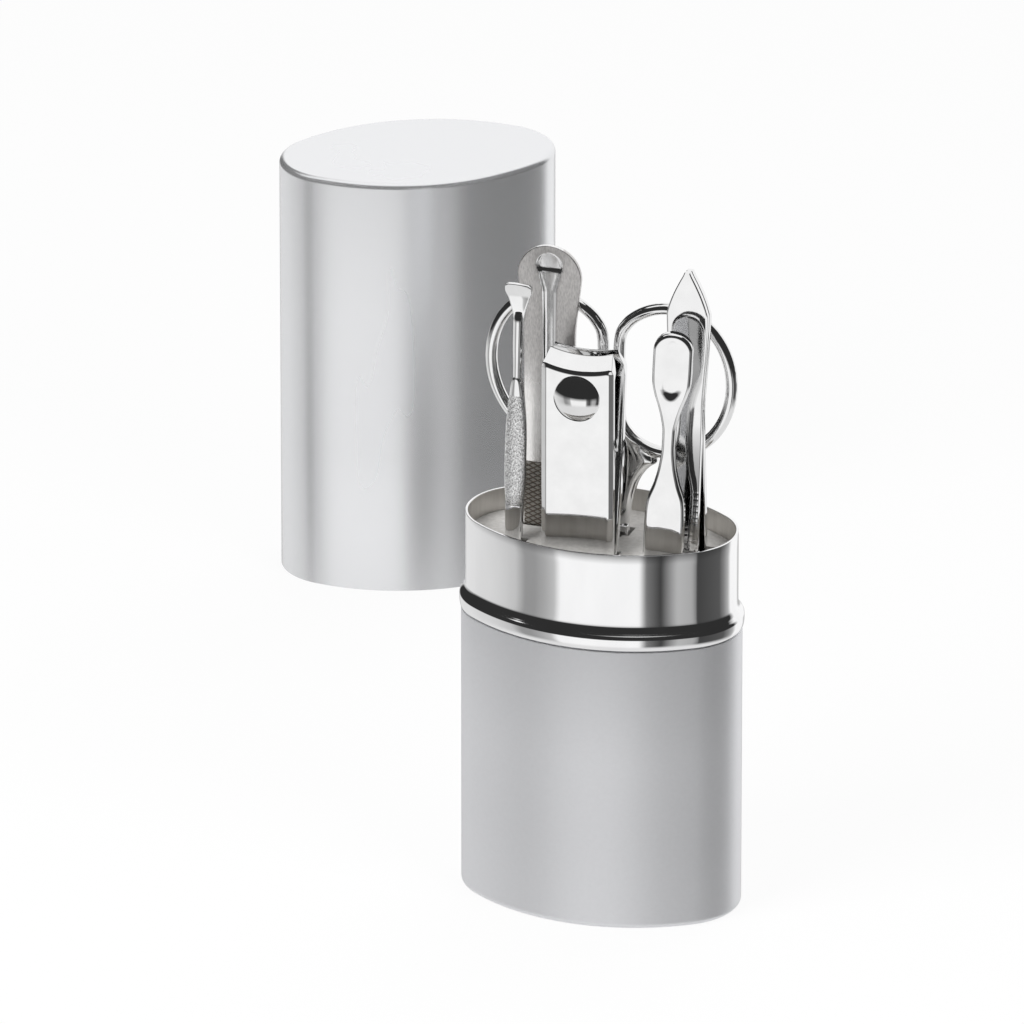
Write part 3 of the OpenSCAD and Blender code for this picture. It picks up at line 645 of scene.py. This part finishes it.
# The cuticle pusher: a crowned handle, a thin neck and a hollow blade
PUSHER_AT = (-13.34, -4.998)
PUSHER_LEAN = 1.26
PUSHER_T = 1.8
BLASTED_FROM = 66.8
BLASTED_TO = 85.6
BLASTED_RIGHT = -11.3
SPADE_T = 0.9
SPADE_HOLLOW = 0.32
SPADE_TURN = 0.5

# Heights, and half widths there
handle = [(7.6, 0.78), (19.2, 1.22), (61, 1.35), (66.7, 1.49), (70.2, 1.68), (73.6, 1.75), (76.5, 1.75),
          (79, 1.71), (82.2, 1.53), (85.4, 1.2), (88.3, 0.72), (88.8, 0.35)]
neck = [(86.5, 0.62), (88.8, 0.68), (91, 0.72), (94, 0.82), (98.2, 0.84), (99.6, 0.6)]
spade = [(98.0, 0.78), (99.5, 1.05), (101.9, 1.68), (103.4, 2.2), (104.2, 2.18), (104.6, 1.7)]
handle_rows = stacked((7.6, 66.4, 30), (66.4, 87.8, 60), (87.8, 88.8, 10))
neck_rows = np.linspace(86.5, 99.6, 30)
spade_rows = stacked((98.0, 104, 40), (104, 104.6, 12))


def handle_crown(x, z):
    """The handle's faces are crowned, and flatter below the blasted part."""
    half = np.maximum(eased(handle, z), 0.1)
    high = np.interp(z, [66.4, 67.2, 84, 88.8], [0.25, 0.42, 0.42, 0.3])
    return high * (x / half) ** 2


def spade_bend(x, z):
    """The blade is hollow towards the front, and its end turns forwards."""
    hollow = SPADE_HOLLOW - SPADE_HOLLOW * (x / 2.2) ** 2 * rise(z - 98, 3)
    return hollow - SPADE_TURN * rise(z - 102, 3)


handle_form = leaf(handle_rows, eased(handle, handle_rows), PUSHER_T, 0.3, handle_crown, handle_crown, 24)
neck_form = shifted(tube([(0, z) for z in neck_rows], eased(neck, neck_rows)), y=PUSHER_T / 2)
spade_form = leaf(spade_rows, eased(spade, spade_rows), SPADE_T, 0.2, spade_bend,
                  lambda x, z: -spade_bend(x, z), 24)
spade_form = shifted(spade_form, y=PUSHER_T / 2 - SPADE_T / 2)
pusher_form = placed(joined_forms(handle_form, neck_form, spade_form), PUSHER_AT, PUSHER_LEAN, 0, PLATE)
pusher = make_piece("pusher_bar", *pusher_form, [POLISHED, BLASTED], "cuticle_pusher", "tool_steel",
                    ["cuticle_pusher"])


def blasted_part(middle, normal):
    """The upper handle is blasted, all but its right rim, and the rest of the bar is polished."""
    return int(BLASTED_FROM < middle.z < BLASTED_TO and middle.x < BLASTED_RIGHT)


paint(pusher, blasted_part)

# The cuticle trimmer: rolled edges, waist, and a hollow thumb rest
TRIMMER_AT = (11.95, -5.9535)
TRIMMER_LEAN = 2.6
TRIMMER_TURN = 8
TRIMMER_T = 2.0
TRIMMER_TOP = 100.0
HEAD_R = 3.05
DISH_LOW = 88.4
DISH_R = 2.05
DISH_TOP = TRIMMER_TOP - 1
BODY_SUNK = 0.06
trimmer_head_z = TRIMMER_TOP - HEAD_R

# Heights, and half widths there
trimmer = [(12, 0.95), (17.3, 2.95), (56, 3.1), (66.8, 3.1), (69.7, 3.03), (71.4, 2.84), (74.5, 1.86),
           (77.6, 1.2), (80.5, 0.92), (83.3, 0.95), (85.2, 1.26), (87.5, 1.87), (89.6, 2.58), (91.6, 2.98),
           (94, HEAD_R), (trimmer_head_z, HEAD_R)]
trimmer_rows = np.concatenate([stacked((12, 20, 24), (20, 64, 24), (64, trimmer_head_z, 110)),
                               trimmer_head_z + HEAD_R * np.sin(np.linspace(0, math.pi / 2, 40))[1:]])
round_head = np.sqrt(np.maximum(HEAD_R ** 2 - (trimmer_rows - trimmer_head_z) ** 2, 0))
trimmer_halves = np.where(trimmer_rows <= trimmer_head_z, eased(trimmer, trimmer_rows), round_head)


def trimmer_dish(x, z):
    """The thumb rest, a shallow hollow with a round top and a steep foot, and the slightly sunk body."""
    high = DISH_TOP - DISH_R
    top = np.sqrt(np.maximum(DISH_R ** 2 - (z - high) ** 2, 0))
    foot = np.interp(z, [DISH_LOW, DISH_LOW + 0.5, DISH_LOW + 2.2], [0.7, 1.3, DISH_R])
    heights = [DISH_LOW, DISH_LOW + 0.3, DISH_LOW + 1.6, high, DISH_TOP]
    floor = np.interp(z, heights, [0, 0.02, 0.24, 0.11, 0.04])
    dish = floor * rise(np.where(z > high, top, foot) - np.abs(x), 1.5)
    body = BODY_SUNK * rise(z - 16, 6) * rise(72 - z, 7) * rise(2.3 - np.abs(x), 1.6)
    return dish + body


trimmer_form = leaf(trimmer_rows, trimmer_halves + 0.1, TRIMMER_T, 0.6, trimmer_dish, None, 48)
trimmer_form = placed(trimmer_form, TRIMMER_AT, TRIMMER_LEAN, TRIMMER_TURN, PLATE)
make_piece("trimmer_bar", *trimmer_form, [POLISHED], "cuticle_trimmer", "tool_steel", ["cuticle_trimmer"])

# The tweezers: two bowed arms with grip grooves, joined at the tail
arm_low, arm_high = node_box("tweezers_front_arm")
TWEEZERS_X = (arm_low.x + arm_high.x) / 2
TWEEZERS_Y = -0.4557
TWEEZERS_T = 1.0
TWEEZERS_LEN = 93
TWEEZERS_HALF = 3.4
TIP = 8
TIP_SHORTER = 0.65
ARM_EDGE = 0.16
BOW = 1.55
SEAM = 0.05
GRIP_DEPTH = 0.012
tweezers_low = arm_low.z
tweezers_top = arm_high.z
root_z = tweezers_top - 24
tip_z = tweezers_top - TIP

# Shares of the length, and of the half width there; the tip is then drawn down a little
arm = [(0, 0.353), (0.18, 0.62), (0.49, 0.7), (0.745, 0.73), (0.79, 0.81), (0.853, 0.94), (0.9, 0.995),
       (0.915, 1), (0.927, 0.93), (0.951, 0.72), (0.977, 0.42), (0.993, 0.21), (1, 0.13)]
arm = [(tweezers_low + share * TWEEZERS_LEN, half * TWEEZERS_HALF) for share, half in arm]
arm = [(z - TIP_SHORTER * max(0, z - tip_z) / TIP, half) for z, half in arm]
tip_rows = np.linspace(tip_z, arm[-1][0], 50)


def grooves(x, z):
    """Grip grooves, one a millimetre."""
    ridge = 0.5 + 0.5 * np.cos(2 * math.pi * (z - PLATE))
    return GRIP_DEPTH * rise(ridge - 0.5, 0.5) * (z < PLATE + 11.5) * (z > PLATE - 9.5)


def arm_form(stop):
    """One bowed arm up to a height, or to its very tip."""
    low, high = PLATE - 10, PLATE + 12
    rows = stacked((tweezers_low, low, 40), (low, high, 280), (high, min(stop, tip_z), 50))
    if stop > tip_z:
        rows = np.concatenate([rows, tip_rows[1:]])
    form = leaf(rows, eased(arm, rows), TWEEZERS_T, ARM_EDGE, grooves, None, 20)
    bow = BOW * (1 - rise(np.array([v[2] for v in form[0]]) - PLATE, root_z - PLATE))
    return [(v[0], v[1] - b, v[2]) for v, b in zip(form[0], bow)], form[1]


tail_rows = np.concatenate([np.linspace(root_z, tip_z, 16), tip_rows[1:]])
tail_form = leaf(tail_rows, eased(arm, tail_rows), TWEEZERS_T + 2 * SEAM, ARM_EDGE, None, None, 20)
tail_form = shifted(tail_form, y=TWEEZERS_T - SEAM / 2)
front_form = placed(joined_forms(arm_form(tweezers_top), tail_form), (TWEEZERS_X, TWEEZERS_Y))
make_piece("tweezers_front", *front_form, [POLISHED], "tweezers", "tool_steel", ["tweezers_front_arm"])
back_points, back_faces = arm_form(root_z - 2 * SEAM)
back_points = [(x, 2 * TWEEZERS_T + 2 * SEAM - y, z) for x, y, z in back_points]
back_form = placed((back_points, back_faces), (TWEEZERS_X, TWEEZERS_Y))
make_piece("tweezers_back", *back_form, [POLISHED], "tweezers_back", "tool_steel", ["tweezers_back_arm"])

# The clipper: both arms with rounded edges, and the domed post
arm_front_low, arm_front_high = node_box("clipper_front_arm")
CLIPPER_AT = ((arm_front_low.x + arm_front_high.x) / 2, arm_front_low.y)
CLIPPER_HALF = (arm_front_high.x - arm_front_low.x) / 2
CLIPPER_T = 1.1
JAW_HALF = 5.2
JAW_REACH = 2.45
JAW_SAG = 0.8
JAW_SHOULDER = 91.85
STRIP_W = 0.85
STRIP_IN = 0.36
SWELL_BELOW = 3.85
SWELL_RUN = 2.75
jaw_top = arm_front_high.z
crease_low = jaw_top - 2.7
crease_high = jaw_top - 1.9
crease_in = 0.2
clipper_rows = stacked((arm_front_low.z, jaw_top - 7, 50), (jaw_top - 7, jaw_top, 110))


def jaw_half(z):
    """Half the width of the front arm at a height."""
    return np.interp(z, [JAW_SHOULDER, jaw_top], [CLIPPER_HALF, JAW_HALF])


def jaw_front(x, z):
    """The front face: bevelled strips along its sides, and above a crease a slope back to the edge."""
    strip = STRIP_IN * np.clip(1 - (jaw_half(z) - np.abs(x)) / STRIP_W, 0, 1) * rise(crease_high - z, 0.8)
    bent = crease_in * np.clip((z - crease_low) / (crease_high - crease_low), 0, 1) ** 2
    slope = (JAW_REACH - crease_in) * np.clip((z - crease_high) / (jaw_top - crease_high), 0, 1)
    return strip + bent + slope


def jaw_back(x, z):
    """The back face swells out behind the cutting edge."""
    return -(JAW_REACH - CLIPPER_T) * np.clip((z - jaw_top + SWELL_BELOW) / SWELL_RUN, 0, 1)


def sagged(form, low, high, half):
    """Draws the top of a form down into a hollow curve, which fades out below."""
    points = []
    for x, y, z in form[0]:
        hollow = 1 - min(abs(x) / half, 1) ** 2
        points.append((x, y, z - JAW_SAG * hollow * float(rise(z - low, high - low))))
    return points, form[1]


front_plate = leaf(clipper_rows, jaw_half(clipper_rows), CLIPPER_T, 0.1, jaw_front, jaw_back, 60)
front_plate = placed(sagged(front_plate, jaw_top - 5.5, jaw_top - 3.3, JAW_HALF), CLIPPER_AT)
make_piece("clipper_front", *front_plate, [POLISHED], "clipper", "tool_steel", ["clipper_front_arm"])
dressed("clipper_back", "clipper_back_arm", "clipper_back", POLISHED, 0.25)
dressed("clipper_lever_bar", "clipper_lever", "clipper_lever", POLISHED, 0.2)

# The post, from the top of its dome at the front to its head at the back
post_low, post_high = node_box("clipper_post")
POST_X = (post_low.x + post_high.x) / 2
POST_Z = (post_low.z + post_high.z) / 2
DOME_R = (post_high.z - post_low.z) / 2
DOME_H = 1.5
DOME_EDGE = 0.12
dome_ball = (DOME_R ** 2 + DOME_H ** 2) / (2 * DOME_H)
dome_foot = post_low.y + DOME_H
reach = math.degrees(math.asin((DOME_R - DOME_EDGE / 2) / dome_ball))
post = [(dome_ball * math.sin(math.radians(a)), post_low.y + dome_ball * (1 - math.cos(math.radians(a))))
        for a in np.linspace(0.05, reach, 26)]
post += [(DOME_R, dome_foot - DOME_EDGE), (DOME_R, dome_foot - DOME_EDGE / 3)]
post += [(DOME_R - DOME_EDGE, dome_foot), (1.62, dome_foot), (1.6, dome_foot + 0.05)]
post += [(radius, post_high.y - short) for radius, short in
         ((1.6, 0.8), (1.65, 0.72), (2.05, 0.7), (2.2, 0.55), (2.2, 0.15), (2.05, 0), (0.01, 0))]
post_form = shifted(turned(post), POST_X, 0, POST_Z)
make_piece("clipper_dome", *post_form, [POLISHED], "clipper_lever", "tool_steel", ["clipper_post"])

# The scissors: a round ring on a broad web, drawn into one smooth form, and the lapped blade
PIVOT = Vector((0, 5.145, 54))
RING_R = 1.0
RING_AT = (9.5, 33.2)
RING_A = 10.5
RING_B = 12.38
RING_TILT = math.radians(7.5)
RING_FLAT = 1.2
RINGS_LEFT = 0.2
VOXEL = 0.2

# The web's inner side, half its thickness, and its outer side by height above the pivot
WEB_SIDE = 0.25
WEB_T = 1.1
WEB_LOW = 6.7
WEB_FULL = 19.2
WEB_TOP = 25.5
WEB_SLOPE = 1.15
web = [(WEB_LOW, 2.8), (7.5, 2.95), (10.9, 3.5), (12.9, 3.95), (15.2, 4.6), (16.9, 5.5), (18.3, 6.7),
       (WEB_FULL, 8.1)]

# One blade with its shank, in front view from the pivot, and its two faces in depth
SHANK = 3.0
BLADE_FACES = (-1.45, -0.05)
BLADE_EDGE = 0.15
blade_outline = [(-0.5, -37.5), (0.5, -37.5), (SHANK, -3.05), (SHANK, 7.95), (0.2, 7.95), (0.2, 6.55),
                 (-SHANK, 3.05), (-SHANK, -3.05)]


def ring_path():
    """The ring's middle line, with its inner side flattened where the two rings meet."""
    points = []
    for a in np.linspace(0, 2 * math.pi, 160, endpoint=False):
        u, w = RING_A * math.cos(a), RING_B * math.sin(a)
        x = RING_AT[0] + u * math.cos(RING_TILT) + w * math.sin(RING_TILT)
        z = RING_AT[1] - u * math.sin(RING_TILT) + w * math.cos(RING_TILT)
        gap = x - RING_FLAT
        x = RING_FLAT + (gap + math.sqrt(gap * gap + 0.8)) / 2 if gap < 1.5 else x
        points.append((x, z))
    return points


def web_form():
    """The shank and the web that it widens into, up to the foot of the ring."""
    rows = np.linspace(WEB_LOW, WEB_TOP, 60)
    vertices = []
    around = 26
    for z in rows:
        side = float(eased(web, z)) if z < WEB_FULL else web[-1][1] - (z - WEB_FULL) * WEB_SLOPE
        middle, half = (side + WEB_SIDE) / 2, (side - WEB_SIDE) / 2
        for j in range(around):
            a = 2 * math.pi * j / around
            c, s = math.cos(a), math.sin(a)
            x = middle + half * math.copysign(abs(c) ** 0.5, c)
            vertices.append((x, WEB_T * math.copysign(abs(s) ** 0.6, s), z))
    return vertices, ring_faces(len(rows), around)


def blade_form():
    """The blade and the shank as one flat bar."""
    count = len(blade_outline)
    vertices = [(x, y, z) for y in BLADE_FACES for x, z in blade_outline]
    faces = [tuple(range(count)), tuple(range(2 * count - 1, count - 1, -1))]
    faces += [(i, (i + 1) % count, count + (i + 1) % count, count + i) for i in range(count)]
    return vertices, faces


def half_turned(form, side):
    """A form of the right half, or turned over for the left one, with the pivot in its place."""
    return [(side * x + PIVOT.x, side * y + PIVOT.y, z + PIVOT.z) for x, y, z in form[0]], form[1]


def scissors_half(name, node, body, side):
    """side is 1 for the right half, whose blade laps in front, and -1 for the left half."""
    grip_form = joined_forms(tube(ring_path(), RING_R, 20, True), web_form())
    grip_form = shifted(half_turned(grip_form, side), x=-RINGS_LEFT)
    grip = make_piece(name + "_ring", *grip_form, [POLISHED], body, "tool_steel", [node])
    fused = grip.modifiers.new("fused", "REMESH")
    fused.mode = "VOXEL"
    fused.voxel_size = VOXEL * MM
    fused.use_smooth_shade = True
    soft = grip.modifiers.new("drawn_smooth", "SMOOTH")
    soft.factor = 0.6
    soft.iterations = 22
    flat_form = half_turned(blade_form(), side)
    blade = make_piece(name + "_blade", *flat_form, [POLISHED], body, "tool_steel", [node])
    rounding = blade.modifiers.new("rounded_edges", "BEVEL")
    rounding.width = BLADE_EDGE * MM
    rounding.segments = 2
    rounding.limit_method = "ANGLE"


scissors_half("scissors_right", "scissors_right_half", "scissors", 1)
scissors_half("scissors_left", "scissors_left_half", "scissors_left", -1)


# The studio: a white floor, soft lamps, and what polished metal sees round it

# Half the side of the floor in millimetres, and how much of it is plain white to the camera
FLOOR = 1600
FLOOR_WHITE = 0.92


def floor_material():
    """White for the camera, with some of the object's shadow."""
    material, nodes, links = new_material("studio_floor")
    nodes.remove(nodes["Principled BSDF"])
    matte = nodes.new("ShaderNodeBsdfDiffuse")
    matte.inputs["Color"].default_value = (0.8, 0.8, 0.8, 1)
    white = nodes.new("ShaderNodeEmission")
    white.inputs["Color"].default_value = (1, 1, 1, 1)
    path = nodes.new("ShaderNodeLightPath")
    seen = nodes.new("ShaderNodeMath")
    seen.operation = "MULTIPLY"
    seen.inputs[1].default_value = FLOOR_WHITE
    links.new(path.outputs["Is Camera Ray"], seen.inputs[0])
    mixed = nodes.new("ShaderNodeMixShader")
    links.new(seen.outputs["Value"], mixed.inputs["Fac"])
    links.new(matte.outputs["BSDF"], mixed.inputs[1])
    links.new(white.outputs["Emission"], mixed.inputs[2])
    links.new(mixed.outputs["Shader"], nodes["Material Output"].inputs["Surface"])
    return material


floor_corners = [(-FLOOR, -FLOOR, 0), (FLOOR, -FLOOR, 0), (FLOOR, FLOOR, 0), (-FLOOR, FLOOR, 0)]
floor_mesh = bpy.data.meshes.new("floor")
floor_mesh.from_pydata([Vector(corner) * MM for corner in floor_corners], [], [(0, 1, 2, 3)])
floor_mesh.materials.append(floor_material())
studio_floor = bpy.data.objects.new("floor", floor_mesh)
bpy.context.scene.collection.objects.link(studio_floor)
studio_floor.visible_glossy = False

# Grey levels round the studio by azimuth, 0 to the front and 90 to the right: along the floor, and above it
FLOOR_LEVELS = ((-180, 0.5), (-160, 0.55), (-150, 0.6), (-133, 0.8), (-97, 0.8), (-75, 0.7), (-58, 0.58),
                (-51, 0.32), (-44, 0.32), (-37, 0.42), (-31, 0.55), (-27, 1.0), (21, 1.0), (25, 0.2),
                (34, 0.05), (44, 0.5), (53, 0.42), (58, 0.06), (106, 0.1), (118, 0.24), (130, 0.46),
                (139, 1.0), (168, 1.0), (180, 0.5))
ROOM_LEVELS = ((-180, 1.0), (-150, 1.0), (-138, 0.03), (128, 0.03), (140, 1.0), (180, 1.0))
OVERHEAD_LEVEL = 1.0
NEAR_LEVEL = 0.8

# Heights of a direction between which the near floor ends, the room begins and the ceiling begins
NEAR_ENDS = (-0.64, -0.5)
ROOM_BEGINS = (-0.33, -0.15)
CEILING_BEGINS = (0.845, 0.875)

# How far the ceiling comes down by azimuth, as a share of the height of a direction
OVERHEAD_DROP = ((-180, 0), (-105, 0), (-95, 0.2), (-65, 0.2), (-55, 0), (180, 0))


def by_azimuth(nodes, links, azimuth, levels):
    """A grey level for each azimuth, smooth between the given ones."""
    ramp = nodes.new("ShaderNodeValToRGB")
    stops = ramp.color_ramp.elements
    for stop, (degrees, level) in zip((stops[0], stops[1]), (levels[0], levels[-1])):
        stop.position = degrees / 360 + 0.5
        stop.color = (level, level, level, 1)
    for degrees, level in levels[1:-1]:
        stops.new(degrees / 360 + 0.5).color = (level, level, level, 1)
    links.new(azimuth, ramp.inputs["Fac"])
    return ramp.outputs["Color"]


def calculated(nodes, links, operation, first, second):
    """A Math node between a source and a source or number."""
    node = nodes.new("ShaderNodeMath")
    node.operation = operation
    for slot, source in zip(node.inputs, (first, second)):
        if isinstance(source, (int, float)):
            slot.default_value = source
        else:
            links.new(source, slot)
    return node.outputs["Value"]


def studio_world():
    """White to the camera. Metal sees a floor with a white window and dark flags, a dark room with a white
    part at the back, and a white ceiling."""
    made = bpy.data.worlds.new("studio")
    made.use_nodes = True
    nodes, links = made.node_tree.nodes, made.node_tree.links
    direction = nodes.new("ShaderNodeTexCoord")
    split = nodes.new("ShaderNodeSeparateXYZ")
    links.new(direction.outputs["Generated"], split.inputs["Vector"])
    back = calculated(nodes, links, "MULTIPLY", split.outputs["Y"], -1)
    turn = calculated(nodes, links, "ARCTAN2", split.outputs["X"], back)
    azimuth = calculated(nodes, links, "MULTIPLY_ADD", turn, 1 / (2 * math.pi))
    azimuth.node.inputs[2].default_value = 0.5
    height = split.outputs["Z"]
    floor_grey = by_azimuth(nodes, links, azimuth, FLOOR_LEVELS)
    room_grey = by_azimuth(nodes, links, azimuth, ROOM_LEVELS)
    below = ranged(nodes, links, height, 1, 0, *NEAR_ENDS)
    near_floor = blended(nodes, links, below, floor_grey, NEAR_LEVEL)
    above_floor = ranged(nodes, links, height, 0, 1, *ROOM_BEGINS)
    room = blended(nodes, links, above_floor, near_floor, room_grey)
    lifted = calculated(nodes, links, "ADD", height, by_azimuth(nodes, links, azimuth, OVERHEAD_DROP))
    overhead = ranged(nodes, links, lifted, 0, 1, *CEILING_BEGINS)
    whole = blended(nodes, links, overhead, room, OVERHEAD_LEVEL)
    path = nodes.new("ShaderNodeLightPath")
    shown = blended(nodes, links, path.outputs["Is Camera Ray"], whole, 1.0)
    links.new(shown, nodes["Background"].inputs["Color"])
    bpy.context.scene.world = made


studio_world()


def lamp(name, place, size, power):
    """A soft square lamp that looks at the base."""
    data = bpy.data.lights.new(name, "AREA")
    data.size = size
    data.energy = power
    thing = bpy.data.objects.new(name, data)
    bpy.context.scene.collection.objects.link(thing)
    thing.location = place
    thing.rotation_mode = "QUATERNION"
    thing.rotation_quaternion = (Vector((0, 0, 0.05)) - Vector(place)).to_track_quat("-Z", "Y")
    thing.visible_glossy = False


lamp("key", (-0.4, -0.6, 0.55), 0.5, 6.5)
lamp("fill", (0.7, -0.35, 0.45), 0.5, 4)
lamp("top", (0.0, 0.45, 0.95), 0.6, 1)

camera = bpy.data.objects.new("camera", bpy.data.cameras.new("camera"))
bpy.context.scene.collection.objects.link(camera)
bpy.context.scene.camera = camera
camera.location = CAMERA_PLACE
camera.rotation_mode = "QUATERNION"
camera.rotation_quaternion = CAMERA_LOOK.to_track_quat("-Z", "Y")
camera.data.lens = CAMERA_LENS
camera.data.sensor_width = 36
camera.data.clip_end = 20
bpy.context.scene.view_settings.view_transform = "Standard"
